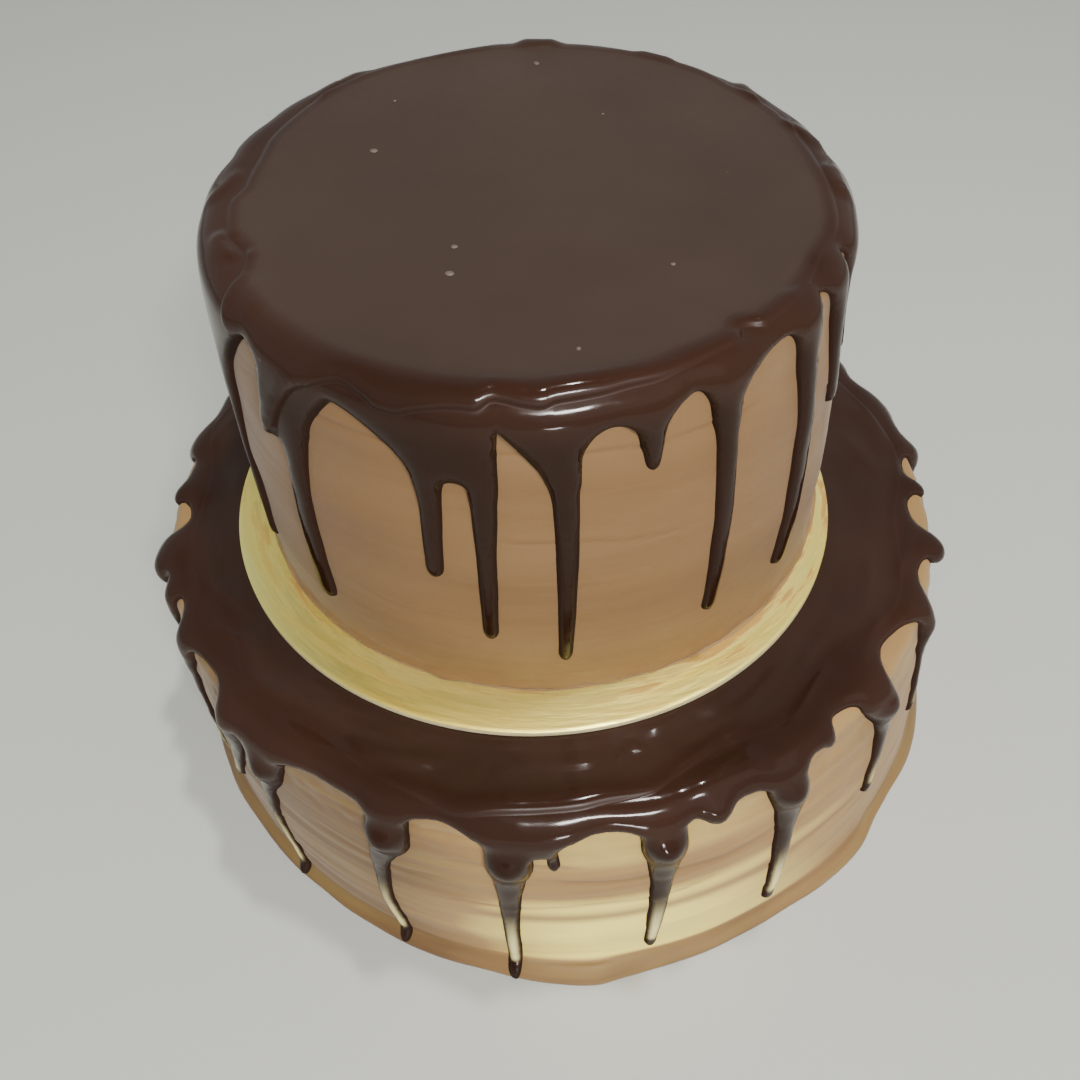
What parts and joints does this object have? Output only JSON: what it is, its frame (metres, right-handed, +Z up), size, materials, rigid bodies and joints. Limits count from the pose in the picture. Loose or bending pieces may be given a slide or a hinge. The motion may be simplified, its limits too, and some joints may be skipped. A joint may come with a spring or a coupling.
{
  "type": "two-tier drip cake",
  "caption": "Round tiered celebration cake frosted in mocha cream, with dark chocolate ganache poured over each tier and running down its sides.",
  "frame": {"origin": "middle of the lower tier's flat underside", "axes": "+Z up through both tiers, -Y the front of the picture, +X to its right"},
  "size_m": [0.2715, 0.2713, 0.1961],
  "materials": {
    "mocha_cream": "smooth whipped cream, matte with a faint sheen",
    "chocolate_ganache": "wet gloss on the drips, softer on the top",
    "gold_foil_card": "gold foil laminate"
  },
  "bodies": {
    "root": {"lower_tier": "mocha_cream", "lower_ganache": "chocolate_ganache", "tier_board": "gold_foil_card", "upper_tier": "mocha_cream", "upper_ganache": "chocolate_ganache"}
  },
  "joints": []
}
